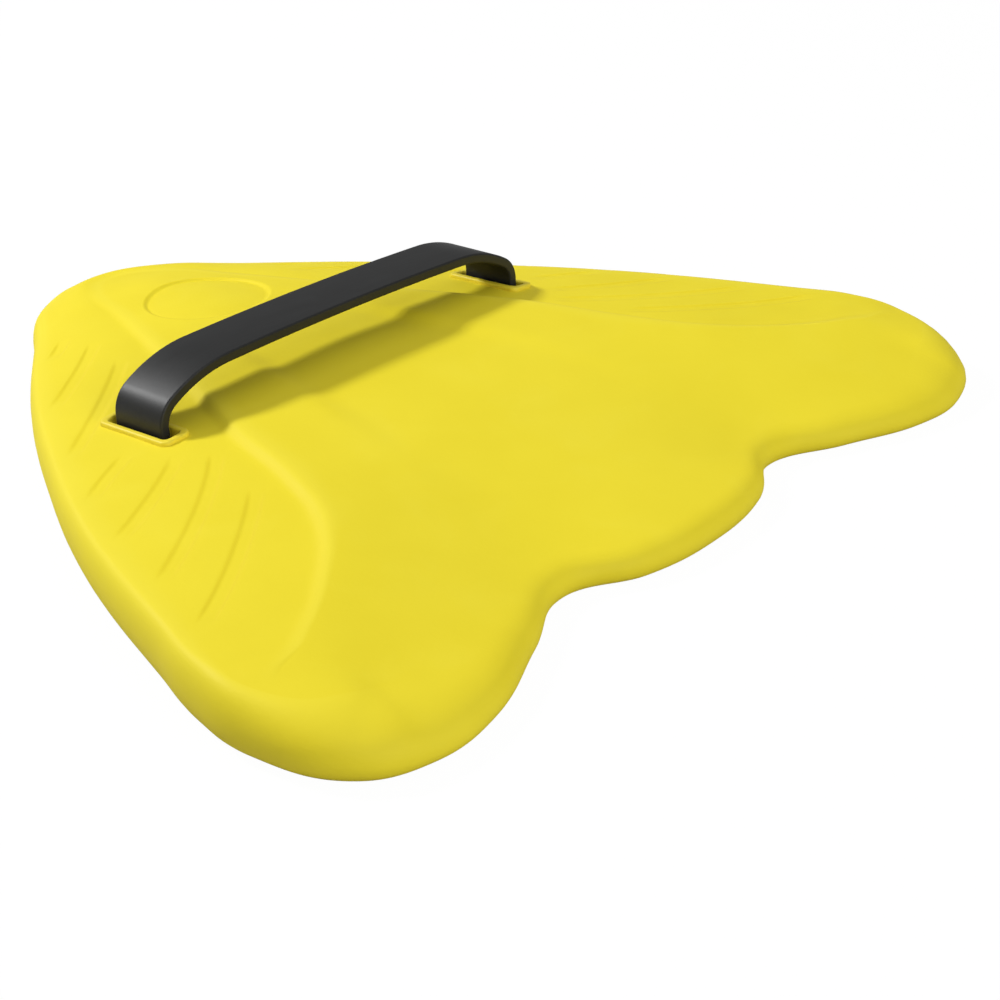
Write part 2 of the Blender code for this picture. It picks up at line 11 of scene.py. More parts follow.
import bmesh
import bpy
import numpy as np
from bpy.props import FloatProperty, FloatVectorProperty, PointerProperty
from mathutils import Matrix, Vector
from mathutils.bvhtree import BVHTree


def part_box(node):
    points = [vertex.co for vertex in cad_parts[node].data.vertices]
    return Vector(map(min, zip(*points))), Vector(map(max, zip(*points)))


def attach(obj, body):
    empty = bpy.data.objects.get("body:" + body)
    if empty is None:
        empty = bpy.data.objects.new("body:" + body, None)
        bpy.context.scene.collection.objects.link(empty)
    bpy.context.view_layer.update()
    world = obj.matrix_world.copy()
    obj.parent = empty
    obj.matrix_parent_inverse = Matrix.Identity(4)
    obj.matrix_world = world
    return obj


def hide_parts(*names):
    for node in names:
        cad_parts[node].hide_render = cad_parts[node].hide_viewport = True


bl_info = {
    "name": "Swimming kickboard",
    "version": (1, 0, 0),
    "blender": (4, 5, 0),
    "location": "View3D > Sidebar > Kickboard",
    "description": "Builds the foam board, slot lips, hand strap and stage around the packed model",
    "category": "Object",
}

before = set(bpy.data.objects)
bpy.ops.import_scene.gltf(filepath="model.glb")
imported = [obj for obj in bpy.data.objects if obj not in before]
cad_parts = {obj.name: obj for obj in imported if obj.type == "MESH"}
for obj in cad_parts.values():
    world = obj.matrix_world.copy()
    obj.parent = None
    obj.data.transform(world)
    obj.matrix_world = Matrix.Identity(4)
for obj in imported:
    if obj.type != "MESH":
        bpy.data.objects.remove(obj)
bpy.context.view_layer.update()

BOARD_LOW, BOARD_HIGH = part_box("board_body")
LINER_LOW, LINER_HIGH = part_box("slot_liner_right")
STRAP_LOW, STRAP_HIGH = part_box("hand_strap")
BAR_LOW, BAR_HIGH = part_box("anchor_bar_right")

SIDES = (("left", -1), ("right", 1))
WELD = 0.000001
SMOOTH_ANGLE = math.radians(40)

# Half of the board from the tail to the nose. Outline and crest points are shares of the
# half span and of the length, spine is the point of the deck's forked middle line behind it.
# Lead runs from 0 on the trailing edge to 1 on the leading edge, lobe rolls the trailing
# edge over, rise lifts the crest from the wing to the crown, step deepens the grip zone, and
# grip is 1 where such a zone lies between the crest and the edge.
Station = namedtuple("Station", "outline crest spine lead lobe rise step grip")
SHARE_SCALE = 0.01
STATIONS = (
    Station((0.000, -0.466), (0.000, -0.395), (0.000, -0.345), 0.00, 0.00, 0.00, 0.00, 0),
    Station((0.175, -0.454), (0.168, -0.382), (0.000, -0.300), 0.00, 0.00, 0.00, 0.00, 0),
    Station((0.326, -0.417), (0.330, -0.348), (0.000, -0.230), 0.00, 0.00, 0.00, 0.00, 0),
    Station((0.495, -0.455), (0.480, -0.378), (0.350, -0.281), 0.00, 0.20, 0.00, 0.00, 0),
    Station((0.678, -0.494), (0.640, -0.402), (0.575, -0.327), 0.00, 0.40, 0.00, 0.00, 0),
    Station((0.822, -0.4968), (0.760, -0.410), (0.700, -0.360), 0.08, 0.80, 0.00, 0.00, 0),
    Station((0.935, -0.466), (0.862, -0.405), (0.790, -0.384), 0.35, 1.00, 0.00, 0.00, 0),
    Station((0.998, -0.372), (0.930, -0.385), (0.790, -0.384), 0.80, 0.30, 0.10, 0.00, 0),
    Station((0.986, -0.304), (0.845, -0.362), (0.700, -0.360), 0.98, 0.05, 0.24, 0.20, 1),
    Station((0.945, -0.236), (0.700, -0.312), (0.575, -0.327), 1.00, 0.00, 0.34, 0.60, 1),
    Station((0.856, -0.098), (0.560, -0.240), (0.350, -0.281), 1.00, 0.00, 0.55, 0.90, 1),
    Station((0.787, -0.012), (0.482, -0.153), (0.000, -0.230), 1.00, 0.00, 0.68, 1.00, 1),
    Station((0.706, 0.072), (0.425, -0.052), (0.000, -0.100), 1.00, 0.00, 0.75, 1.00, 1),
    Station((0.523, 0.236), (0.285, 0.133), (0.000, 0.070), 1.00, 0.00, 0.78, 0.90, 1),
    Station((0.320, 0.379), (0.155, 0.313), (0.000, 0.230), 1.00, 0.00, 0.72, 0.50, 1),
    Station((0.191, 0.461), (0.092, 0.404), (0.000, 0.320), 1.00, 0.00, 0.61, 0.15, 1),
    Station((0.000, 0.500), (0.000, 0.447), (0.000, 0.375), 1.00, 0.00, 0.48, 0.00, 1),
)

# Arch of the deck along its middle line, as shares of the length and of the crown
ARCH = (
    (0.340, 0.950), (0.240, 1.000), (0.060, 0.976), (-0.080, 0.885), (-0.200, 0.745),
    (-0.310, 0.575), (-0.390, 0.435))

# Finger grooves of the right grip zone: start, middle and end in plan
GROOVES = (
    ((0.059, 0.122), (0.068, 0.115), (0.076, 0.110)),
    ((0.056, 0.105), (0.080, 0.086), (0.107, 0.068)),
    ((0.062, 0.080), (0.091, 0.055), (0.131, 0.026)),
    ((0.116, 0.009), (0.132, 0.002), (0.149, -0.008)),
    ((0.108, -0.008), (0.129, -0.022), (0.162, -0.039)),
    ((0.098, -0.018), (0.129, -0.045), (0.171, -0.072)),
    ((0.108, -0.050), (0.141, -0.077), (0.181, -0.103)),
)
GROOVE_FADE_SHARE = 0.4

# Recess in the nose: run of its wall, and the share of its depth left at its middle
MEDALLION_WALL = 0.0022
MEDALLION_DISH = 0.55

# Painted highlight along the leading edge and along the crest fades out over one part in this many
# of a zone, from its edge or its crest
EDGE_HIGHLIGHT_FADE = 6
CREST_HIGHLIGHT_FADE = 10

# Greys of the plates and bars below the deck
PLATE_GREYS = ((0.085, 0.085, 0.093, 1), (0.115, 0.115, 0.125, 1))
PLATE_SCUFF = (0.16, 0.16, 0.165, 1)
STEEL_GREYS = ((0.52, 0.52, 0.53, 1), (0.66, 0.66, 0.67, 1))

# Square lamps: name, power property, place and side
LAMPS = (
    ("key_lamp", "key_power", (-0.6064, 1.3476, 1.3476), 0.3),
    ("overhead_lamp", "top_power", (0.2, 0.0, 2.2), 2.4),
    ("rear_lamp", "rear_power", (-0.2982, -1.9877, 0.8945), 1.6),
)
LAMP_AIM = Vector((0, 0, 0.03))
FLOOR_HALF = 5
FLOOR_DROP = 0.0004
SENSOR_WIDTH = 36

# Mesh fineness
STATION_STEPS = 20
EDGE_STEPS = 7
GRIP_STEPS = 32
STEP_STEPS = 6
DECK_STEPS = 30
KNOT_STEP = 8
TOP_SMOOTHING = 4
RELAX = 0.5
GROOVE_SAMPLES = 25
DETAIL_CUTS = 2
DETAIL_SMOOTHING = 4
CORNER_STEPS = 8
CURL_STEPS = 28
BEND_STEPS = 20
SHOULDER_STEPS = 16
CROWN_STEPS = 32

# Picking faces, vertices and edges: how far they face up, turn, or lie from a cut
DECK_FACING = 0.3
TOP_FACING = 0.2
RIM_ANGLE = 1.0
GROOVE_MARGIN = 0.0025
MEDALLION_MARGIN = 0.005

# Lengths in metres and colours, as the panel shows them
LengthProperty = partial(FloatProperty, unit="LENGTH")
ColourProperty = partial(FloatVectorProperty, subtype="COLOR", size=4, min=0, max=1)


class KickboardBoard(bpy.types.PropertyGroup):
    """Sizes and colour of the foam board."""

    span: LengthProperty(
        name="Span", description="Width across the wings", default=BOARD_HIGH.x - BOARD_LOW.x)
    length: LengthProperty(name="Length", description="Nose to tail", default=0.370)
    crown: LengthProperty(name="Crown", description="Height of the deck's middle", default=0.0375)
    wing_crest: LengthProperty(
        name="Wing crest", description="Height of the crest at the wing tip", default=0.0228)
    lead_edge: LengthProperty(
        name="Leading edge", description="Height of the leading wall", default=0.026)
    tail_edge: LengthProperty(
        name="Trailing edge", description="Height of the trailing wall", default=0.0125)
    lobe_edge: LengthProperty(
        name="Lobe edge", description="Height where the lobes start to roll over", default=0.0185)
    lead_mid: LengthProperty(
        name="Leading middle", description="Height of the widest line of the leading wall",
        default=0.015)
    tail_mid: LengthProperty(
        name="Trailing middle", description="Height of the widest line of the trailing wall",
        default=0.005)
    lobe_mid: LengthProperty(
        name="Lobe middle", description="Height of the widest line of the lobes", default=0.0035)
    lead_round: LengthProperty(
        name="Leading round", description="Run of the leading edge's upper round", default=0.005)
    tail_round: LengthProperty(
        name="Trailing round", description="Run of the trailing edge's upper round", default=0.008)
    lobe_round: LengthProperty(
        name="Lobe round", description="Run over which the lobes roll over", default=0.026)
    lead_sole: LengthProperty(
        name="Leading tuck", description="How far the leading wall tucks in below", default=0.008)
    tail_sole: LengthProperty(
        name="Trailing tuck", description="How far the trailing wall tucks in below", default=0.004)
    edge_pull: FloatProperty(
        name="Edge fullness", description="Fullness of the upper round", subtype="FACTOR",
        default=0.55)
    grip_fullness: FloatProperty(
        name="Grip fullness", description="Fullness of the grip zone", default=1.7)
    grip_step: LengthProperty(
        name="Grip step", description="Height of the step beside the deck", default=0.0030)
    step_run: LengthProperty(
        name="Step run", description="Width of the step beside the deck", default=0.006)
    ridge_x: LengthProperty(
        name="Ridge place",
        description="Distance of each deck ridge from the middle, beside the strap", default=0.042)
    ridge_splay: FloatProperty(
        name="Ridge splay", description="How fast the ridges part towards the tail", default=0.21)
    ridge_run: LengthProperty(
        name="Ridge run", description="Width of the slope inside each ridge", default=0.010)
    valley_depth: LengthProperty(
        name="Panel depth", description="Depth of the deck's middle panel", default=0.0020)
    valley_aft: LengthProperty(
        name="Panel aft", description="Reach of the middle panel towards the tail", default=0.085)
    valley_fore: LengthProperty(
        name="Panel fore", description="Reach of the middle panel towards the nose", default=0.045)
    groove_width: LengthProperty(
        name="Groove width", description="Width of a finger groove", default=0.0052)
    groove_wall: LengthProperty(
        name="Groove wall", description="Run of a finger groove's side", default=0.0018)
    groove_depth: LengthProperty(
        name="Groove depth", description="Depth of a finger groove", default=0.00055)
    groove_fade: LengthProperty(
        name="Groove fade", description="Run over which a groove's ends die out", default=0.012)
    medallion_y: LengthProperty(
        name="Medallion place", description="Distance of the blank round recess towards the nose",
        default=0.097)
    medallion_radius: LengthProperty(
        name="Medallion radius", description="Radius of the blank round recess", default=0.027)
    medallion_depth: LengthProperty(
        name="Medallion depth", description="Depth of the blank round recess", default=0.0012)
    foam: ColourProperty(
        name="Foam", description="Colour of the moulded foam", default=(0.86, 0.715, 0.027, 1))
    foam_deep: ColourProperty(
        name="Deep foam", description="Colour of the foam's denser patches",
        default=(0.84, 0.695, 0.023, 1))
    # Painted shade on the sides of the finger grooves
    foam_groove_shade: ColourProperty(
        name="Foam in grooves", description="Deeper yellow on the sides of the grooves",
        default=(0.76, 0.59, 0.012, 1))
    # Colour of the painted highlight along the crests and the leading edge, and of the hand smears
    foam_highlight_and_smear: ColourProperty(
        name="Pale foam", description="Colour of the foam along highlit crests",
        default=(0.87, 0.735, 0.040, 1))


class KickboardSlots(bpy.types.PropertyGroup):
    """Sizes of the lipped slots and of the pockets below them."""

    slot_length: LengthProperty(
        name="Slot length", description="Opening of a slot along the board", default=0.0344)
    slot_width: LengthProperty(
        name="Slot width", description="Opening of a slot across the board", default=0.0079)
    wall: LengthProperty(
        name="Sleeve wall", description="Wall of the sleeve in the slot", default=0.0014)
    lip_proud: LengthProperty(
        name="Lip height", description="How far the lip stands above the deck", default=0.0018)
    lip_height: LengthProperty(
        name="Lip thickness", description="Height of the lip above its seat", default=0.0043)
    lip_round: LengthProperty(
        name="Lip round", description="Round of the lip's edges", default=0.0009)
    seat_gap: LengthProperty(
        name="Seat gap", description="Clearance around the liner", default=0.0001)
    pocket_length: LengthProperty(
        name="Pocket length", description="Pocket in the sole along the board", default=0.046)
    pocket_width: LengthProperty(
        name="Pocket width", description="Pocket in the sole across the board", default=0.030)
    pocket_corner: LengthProperty(
        name="Pocket corner", description="Corner of the pocket in the sole", default=0.006)
    lip_colour: ColourProperty(
        name="Lip", description="Colour of the slot lips", default=(0.86, 0.70, 0.035, 1))


class KickboardStrap(bpy.types.PropertyGroup):
    """Sizes and colour of the hand strap."""

    width: LengthProperty(
        name="Width", description="Width of the strap", default=STRAP_HIGH.y - STRAP_LOW.y)
    thickness: LengthProperty(
        name="Thickness", description="Thickness of the strap", default=0.0043)
    corner: LengthProperty(
        name="Edge round", description="Round of the strap's edges", default=0.0009)
    bend_radius: LengthProperty(
        name="Bend radius", description="Radius of the bend above each slot", default=0.011)
    bend_turn: FloatProperty(
        name="Bend", description="Turn of the bend above each slot", subtype="ANGLE",
        default=math.radians(59))
    shoulder_radius: LengthProperty(
        name="Shoulder radius", description="Radius between bend and crown", default=0.061)
    shoulder_turn: FloatProperty(
        name="Shoulder", description="Turn between bend and crown", subtype="ANGLE",
        default=math.radians(29))
    leg_top: LengthProperty(
        name="Leg top", description="Height where the bend starts", default=0.0333)
    curl_turn: FloatProperty(
        name="Curl", description="Turn of the end round its bar", subtype="ANGLE",
        default=math.radians(282))
    rubber: ColourProperty(
        name="Rubber", description="Colour of the strap", default=(0.011, 0.0114, 0.0115, 1))
    rubber_dust: ColourProperty(
        name="Dust", description="Colour of the dull film on the strap",
        default=(0.019, 0.0195, 0.0197, 1))


class KickboardStage(bpy.types.PropertyGroup):
    """Camera, lamps and floor."""

    lens: FloatProperty(name="Lens", description="Focal length in millimetres", default=63.11)
    roll: FloatProperty(
        name="Roll", description="Tilt of the camera", subtype="ANGLE", default=math.radians(-1.5))
    eye: FloatVectorProperty(
        name="Eye", description="Place of the camera", subtype="TRANSLATION", size=3,
        default=(-0.47202, -0.47452, 0.30149))
    gaze: FloatVectorProperty(
        name="Gaze", description="Direction that the camera looks in", subtype="DIRECTION", size=3,
        default=(0.67708, 0.58085, -0.45186))
    key_power: FloatProperty(
        name="Key", description="Power of the key lamp", unit="POWER", default=29)
    top_power: FloatProperty(
        name="Overhead", description="Power of the overhead lamp", unit="POWER", default=9)
    rear_power: FloatProperty(
        name="Rear", description="Power of the lamp behind the tail", unit="POWER", default=22)
    fill: FloatProperty(
        name="Fill", description="Strength of the light from all round", default=0.27)
    floor: ColourProperty(
        name="Floor", description="Colour of the floor", default=(0.5, 0.5, 0.5, 1))
    floor_white: FloatProperty(
        name="Floor white", description="Level of the floor's even white", default=1.03)
    floor_glow: FloatProperty(
        name="Floor glow", description="Share of plain white that the camera sees on the floor",
        subtype="FACTOR", min=0, max=1, default=0.95)


def mix(first, second, share):
    return first + (second - first) * share


def smooth_share(value):
    value = np.clip(value, 0, 1)
    return value * value * (3 - 2 * value)


def add_piece(name, bm, material):
    """Object with the bmesh as its smooth mesh, sharp where faces meet steeply."""
    mesh = bpy.data.meshes.new(name)
    bm.to_mesh(mesh)
    bm.free()
    piece = bpy.data.objects.new(name, mesh)
    bpy.context.scene.collection.objects.link(piece)
    if material:
        mesh.materials.append(material)
    soften_shading(mesh)
    return piece


def soften_shading(mesh):
    mesh.shade_smooth()
    mesh.set_sharp_from_angle(angle=SMOOTH_ANGLE)


def closed_curve(points):
    """Smooth closed curve through the points, read back as evenly stepped points."""
    curve = bpy.data.curves.new("station_curve", "CURVE")
    curve.dimensions = "3D"
    curve.resolution_u = STATION_STEPS
    spline = curve.splines.new("BEZIER")
    spline.bezier_points.add(len(points) - 1)
    for knot, point in zip(spline.bezier_points, points):
        knot.co = point
        knot.handle_left_type = "AUTO"
        knot.handle_right_type = "AUTO"
    spline.use_cyclic_u = True
    guide = bpy.data.objects.new("station_curve", curve)
    bpy.context.scene.collection.objects.link(guide)
    bpy.context.view_layer.update()
    mesh = guide.to_mesh()
    ring = np.array([vertex.co[:] for vertex in mesh.vertices])
    guide.to_mesh_clear()
    bpy.data.objects.remove(guide, do_unlink=True)
    bpy.data.curves.remove(curve)
    return ring


def station_ring(place):
    """Closed ring through one point per station, the same on both halves."""
    half = [Vector(place(station)) for station in STATIONS]
    other = [Vector((-point.x, point.y, point.z)) for point in half[-2:0:-1]]
    return closed_curve(half + other)


def share_rings(board, names):
    """Station values per ring point, the same on both halves."""
    rings = []
    for name in names:
        ring = station_ring(lambda s: (*plan(board, s.outline), getattr(s, name) * SHARE_SCALE))
        rings.append(ring[:, 2] / SHARE_SCALE)
    return rings


def plan(board, point):
    return point[0] * board.span / 2, point[1] * board.length


def inset(ring, distance):
    """Ring moved in from the outline along its plan normals."""
    along = np.roll(ring, -1, axis=0) - np.roll(ring, 1, axis=0)
    normal = np.stack([-along[:, 1], along[:, 0], np.zeros(len(ring))], axis=1)
    normal /= np.linalg.norm(normal, axis=1)[:, None]
    return ring + normal * distance[:, None]


def plate_kernel(apart):
    return apart ** 2 * np.log(np.maximum(apart, WELD))


def bent_plate(knots):
    """Height over the plan of a thin plate that is bent to pass through the knots."""
    count = len(knots)
    apart = np.linalg.norm(knots[:, None, :2] - knots[None, :, :2], axis=2)
    flat = np.column_stack([np.ones(count), knots[:, :2]])
    system = np.block([[plate_kernel(apart), flat], [flat.T, np.zeros((3, 3))]])
    weights = np.linalg.solve(system, np.concatenate([knots[:, 2], np.zeros(3)]))

    def height(points):
        apart = np.linalg.norm(points[:, None, :2] - knots[None, :, :2], axis=2)
        tilt = weights[count] + points[:, :2] @ weights[count + 1:]
        return plate_kernel(apart) @ weights[:count] + tilt

    return height


def deck_relief(board, points):
    """Lower middle panel of the deck between two splayed ridges, fading fore and aft."""
    aft = slot_place(1).y - points[:, 1]
    fade = np.exp(-(aft / np.where(aft > 0, board.valley_aft, board.valley_fore)) ** 2)
    ridge = board.ridge_x + board.ridge_splay * aft
    inside = smooth_share((ridge - np.abs(points[:, 0])) / board.ridge_run)
    return -board.valley_depth * fade * inside


def spine_ring(board):
    """The deck's forked middle line, run from the tail to the nose and back."""
    spots = np.array([(*plan(board, station.spine), 0.0) for station in STATIONS])
    places = np.arange(len(STATIONS))
    steps = np.arange(places[-1] * STATION_STEPS + 1) / STATION_STEPS
    half = np.column_stack([np.interp(steps, places, spots[:, axis]) for axis in range(3)])
    return np.concatenate([half, half[-2:0:-1] * (-1, 1, 1)])


def board_rings(board):
    """Rings from the sole round the edge and over the deck, each with its share of painted
    highlight.
    """
    outline = station_ring(lambda s: (*plan(board, s.outline), 0.0))
    crest = station_ring(
        lambda s: (*plan(board, s.crest), mix(board.wing_crest, board.crown, s.rise)))
    lead, lobe, step, grip = np.clip(share_rings(board, ("lead", "lobe", "step", "grip")), 0, 1)

    outline[:, 2] = mix(mix(board.tail_mid, board.lobe_mid, lobe), board.lead_mid, lead)
    rounding = mix(mix(board.tail_round, board.lobe_round, lobe), board.lead_round, lead)
    edge = inset(outline, rounding)
    edge[:, 2] = mix(mix(board.tail_edge, board.lobe_edge, lobe), board.lead_edge, lead)
    sole = inset(outline, mix(board.tail_sole, board.lead_sole, lead))
    sole[:, 2] = 0
    rim = mix(edge, crest, grip[:, None])
    arch = [(0.0, y * board.length, height * board.crown) for y, height in ARCH]
    deck = bent_plate(np.concatenate([rim[::KNOT_STEP], arch]))

    outward = edge - crest
    outward[:, 2] = 0
    reach = np.linalg.norm(outward, axis=1)[:, None]
    foot = crest + outward / reach * np.minimum(board.step_run, reach / 2)
    foot[:, 2] = crest[:, 2] - board.grip_step * step
    # Each upper ring carries its share of painted highlight: along the leading edge's upper round,
    # up the crest's step and on the crest, fading over the deck
    upper = []
    for index in range(GRIP_STEPS + 1):
        share = index / GRIP_STEPS
        ring = mix(edge, foot, share)
        bare = mix(edge[:, 2], foot[:, 2], 1 - (1 - share) ** board.grip_fullness)
        ring[:, 2] = mix(deck(ring), bare, grip)
        upper.append((ring, lead * smooth_share(1 - EDGE_HIGHLIGHT_FADE * share)))
    for index in range(1, STEP_STEPS + 1):
        share = index / STEP_STEPS
        ring = mix(foot, crest, share)
        bare = mix(foot[:, 2], crest[:, 2], smooth_share(share))
        ring[:, 2] = mix(deck(ring), bare, grip)
        upper.append((ring, grip * smooth_share(share)))
    spine = spine_ring(board)
    for index in range(1, DECK_STEPS + 1):
        share = index / DECK_STEPS
        ring = mix(crest, spine, share)
        ring[:, 2] = deck(ring) + deck_relief(board, ring)
        upper.append((ring, grip * smooth_share(1 - CREST_HIGHLIGHT_FADE * share)))

    none = np.zeros_like(lead)
    rings = []
    for index in range(EDGE_STEPS + 1):
        turn = math.pi / 2 * index / EDGE_STEPS
        ring = mix(sole, outline, math.sin(turn))
        ring[:, 2] = outline[:, 2] * (1 - math.cos(turn))
        rings.append((ring, none))
    ahead = upper[1][0] - upper[0][0]
    slope = ahead[:, 2] / np.linalg.norm(ahead[:, :2], axis=1) * (1 - lead)
    run = np.linalg.norm(edge[:, :2] - outline[:, :2], axis=1)
    pull = board.edge_pull
    low_pull = outline[:, 2] + pull * (edge[:, 2] - slope * run - outline[:, 2])
    high_pull = edge[:, 2] - pull * slope * run
    # These rings carry painted highlight that grows up the leading edge's upper round
    for index in range(1, EDGE_STEPS):
        share = index / EDGE_STEPS
        back = 1 - share
        ring = mix(outline, edge, 3 * back * share ** 2 * (1 - pull) + share ** 3)
        ring[:, 2] = back ** 3 * outline[:, 2] + 3 * back ** 2 * share * low_pull
        ring[:, 2] += 3 * back * share ** 2 * high_pull + share ** 3 * edge[:, 2]
        rings.append((ring, lead * smooth_share(share)))
    return rings + upper


def start_ring(bm, points):
    """Closed ring of edges through the points."""
    verts = [bm.verts.new(point) for point in points]
    for index, vert in enumerate(verts):
        bm.edges.new((verts[index - 1], vert))
    return verts


def ring_edges(bm, verts):
    return [bm.edges.get((verts[index - 1], vert)) for index, vert in enumerate(verts)]


def grow_ring(bm, verts, points):
    """Extrude a ring into a band and carry the band's far ring to the points."""
    grown = bmesh.ops.extrude_edge_only(bm, edges=ring_edges(bm, verts))["geom"]
    copies = set()
    for item in grown:
        if isinstance(item, bmesh.types.BMEdge):
            copies.update(item.verts)
    far = []
    for vert, point in zip(verts, points):
        beside = (edge.other_vert(vert) for edge in vert.link_edges)
        copy = next(other for other in beside if other in copies)
        copy.co = point
        far.append(copy)
    return far


def fill_ring(bm, verts):
    return bmesh.ops.contextual_create(bm, geom=ring_edges(bm, verts))["faces"]


def rounded_loop(length, width, corner, height):
    """Points of a rounded rectangle in plan, width along X and length along Y."""
    points = []
    for quarter, (side_x, side_y) in enumerate(((1, 1), (-1, 1), (-1, -1), (1, -1))):
        middle = Vector((side_x * (width / 2 - corner), side_y * (length / 2 - corner), height))
        for index in range(CORNER_STEPS + 1):
            turn = math.pi / 2 * (quarter + index / CORNER_STEPS)
            points.append(middle + corner * Vector((math.cos(turn), math.sin(turn), 0)))
    return points


def slot_place(side):
    middle = (LINER_LOW + LINER_HIGH) / 2
    return Vector((side * middle.x, middle.y, 0))


def board_shell(board):
    """Closed board without its slots, and its upper vertices."""
    bm = bmesh.new()
    # Layers for the painted highlight along crests and edges and for the painted shade on the
    # groove sides
    for name in ("rub", "hollow"):
        bm.verts.layers.float.new(name)
    rub = bm.verts.layers.float["rub"]
    rings = board_rings(board)
    verts = start_ring(bm, rings[0][0])
    fill_ring(bm, verts)
    upper = []
    for index, (ring, shares) in enumerate(rings[1:], 1):
        verts = grow_ring(bm, verts, ring)
        # Each vertex keeps its share of painted highlight
        for vert, share in zip(verts, shares):
            vert[rub] = share
        if index > 2 * EDGE_STEPS:
            upper += verts
    bmesh.ops.remove_doubles(bm, verts=verts, dist=WELD)
    bmesh.ops.recalc_face_normals(bm, faces=bm.faces)
    return bm, [vert for vert in upper if vert.is_valid]


def groove_points(groove):
    """Evenly stepped points on the curve through a groove's start, middle and end."""
    start, middle, end = (np.array(point) for point in groove)
    share = np.linspace(0, 1, GROOVE_SAMPLES)[:, None]
    pull = 2 * middle - (start + end) / 2
    return (1 - share) ** 2 * start + 2 * share * (1 - share) * pull + share ** 2 * end


def groove_cut(board, x, y):
    """Shares of a groove's depth and of its sides, where painted shade goes, at plan points of the
    right half.
    """
    depth, sides = np.zeros_like(x), np.zeros_like(x)
    for groove in GROOVES:
        path = groove_points(groove)
        gaps = np.linalg.norm(np.diff(path, axis=0), axis=1)
        length = gaps.sum()
        run = np.concatenate([[0], np.cumsum(gaps)])
        apart = np.full_like(x, 1.0)
        along = np.zeros_like(x)
        for first, second, travelled, gap in zip(path[:-1], path[1:], run, gaps):
            way = (second - first) / gap
            share = np.clip((x - first[0]) * way[0] + (y - first[1]) * way[1], 0, gap)
            here = np.hypot(x - first[0] - share * way[0], y - first[1] - share * way[1])
            along = np.where(here < apart, travelled + share, along)
            apart = np.minimum(apart, here)
        half = board.groove_width / 2 + board.groove_wall / 2
        across = smooth_share((half - apart) / board.groove_wall)
        fade = min(board.groove_fade, length * GROOVE_FADE_SHARE)
        ends = smooth_share(np.minimum(along, length - along) / fade)
        depth = np.maximum(depth, across * ends)
        # The sides share peaks on the groove walls and carries the painted shade there
        sides = np.maximum(sides, 4 * across * (1 - across) * ends)
    return depth, sides


def medallion_cut(board, x, y):
    """Share of the recess's depth at plan points."""
    apart = np.hypot(x, y - board.medallion_y)
    dish = mix(MEDALLION_DISH, 1, np.clip(apart / board.medallion_radius, 0, 1) ** 2)
    inside = board.medallion_radius + MEDALLION_WALL / 2 - apart
    return dish * smooth_share(inside / MEDALLION_WALL)


def plan_arrays(verts):
    points = np.array([vert.co[:] for vert in verts])
    return points[:, 0], points[:, 1]


def lift(verts, heights):
    for vert, height in zip(verts, heights):
        vert.co.z += height


def relax(bm, verts, rounds):
    """Even the vertices out with their neighbours."""
    for _ in range(rounds):
        bmesh.ops.smooth_vert(
            bm, verts=verts, factor=RELAX, use_axis_x=True, use_axis_y=True, use_axis_z=True)


def refine(bm, board):
    """Cut the faces near the grooves and the medallion finer, and return their vertices."""
    faces = [face for face in bm.faces if face.normal.z > DECK_FACING and len(face.verts) < 5]
    middles = np.array([face.calc_center_median()[:] for face in faces])
    x, y = np.abs(middles[:, 0]), middles[:, 1]
    near = np.full_like(x, 1.0)
    for groove in GROOVES:
        for point in groove_points(groove):
            near = np.minimum(near, np.hypot(x - point[0], y - point[1]))
    band = near < board.groove_width / 2 + board.groove_wall + GROOVE_MARGIN
    rim = np.abs(np.hypot(x, y - board.medallion_y) - board.medallion_radius) < MEDALLION_MARGIN
    chosen = [face for face, take in zip(faces, band | rim) if take]
    edges = {edge for face in chosen for edge in face.edges}
    cut = bmesh.ops.subdivide_edges(bm, edges=list(edges), cuts=DETAIL_CUTS, use_grid_fill=True)
    return [item for item in cut["geom_inner"] if isinstance(item, bmesh.types.BMVert)]


def slot_sizes(slots):
    """Length, width and corner of a slot, of its sleeve and of its lip."""
    sleeve_length = slots.slot_length + 2 * slots.wall
    sleeve_width = slots.slot_width + 2 * slots.wall
    lip_length, lip_width = LINER_HIGH.y - LINER_LOW.y, LINER_HIGH.x - LINER_LOW.x
    return (
        (slots.slot_length, slots.slot_width, slots.slot_width / 4),
        (sleeve_length, sleeve_width, sleeve_width / 4),
        (lip_length, lip_width, lip_width / 4))


def slot_cutter(slots):
    """Seat, slot and pocket of both strap ends as one closed stepped body each."""
    _, sleeve, seat = slot_sizes(slots)
    sleeve = tuple(size + 2 * slots.seat_gap for size in sleeve)
    seat = tuple(size + 2 * slots.seat_gap for size in seat)
    pocket = (slots.pocket_length, slots.pocket_width, slots.pocket_corner)
    roof = LINER_LOW.z
    ledge = LINER_HIGH.z - slots.lip_height
    loops = (
        (*pocket, -roof), (*pocket, roof), (*sleeve, roof), (*sleeve, ledge), (*seat, ledge),
        (*seat, BOARD_HIGH.z + roof))
    bm = bmesh.new()
    for _, side in SIDES:
        verts = None
        for loop in loops:
            points = [point + slot_place(side) for point in rounded_loop(*loop)]
            if verts:
                verts = grow_ring(bm, verts, points)
            else:
                verts = start_ring(bm, points)
                fill_ring(bm, verts)
        fill_ring(bm, verts)
    bmesh.ops.recalc_face_normals(bm, faces=bm.faces)
    return add_piece("slot_cutter", bm, None)


def cut_away(piece, cutter):
    """Take the cutter's body out of the piece for good."""
    modifier = piece.modifiers.new("slots", "BOOLEAN")
    modifier.operation = "DIFFERENCE"
    modifier.solver = "EXACT"
    modifier.object = cutter
    shown = piece.evaluated_get(bpy.context.evaluated_depsgraph_get())
    mesh = bpy.data.meshes.new_from_object(shown)
    piece.modifiers.clear()
    old = piece.data
    piece.data = mesh
    mesh.name = old.name
    bpy.data.meshes.remove(old)
    bpy.data.objects.remove(cutter, do_unlink=True)


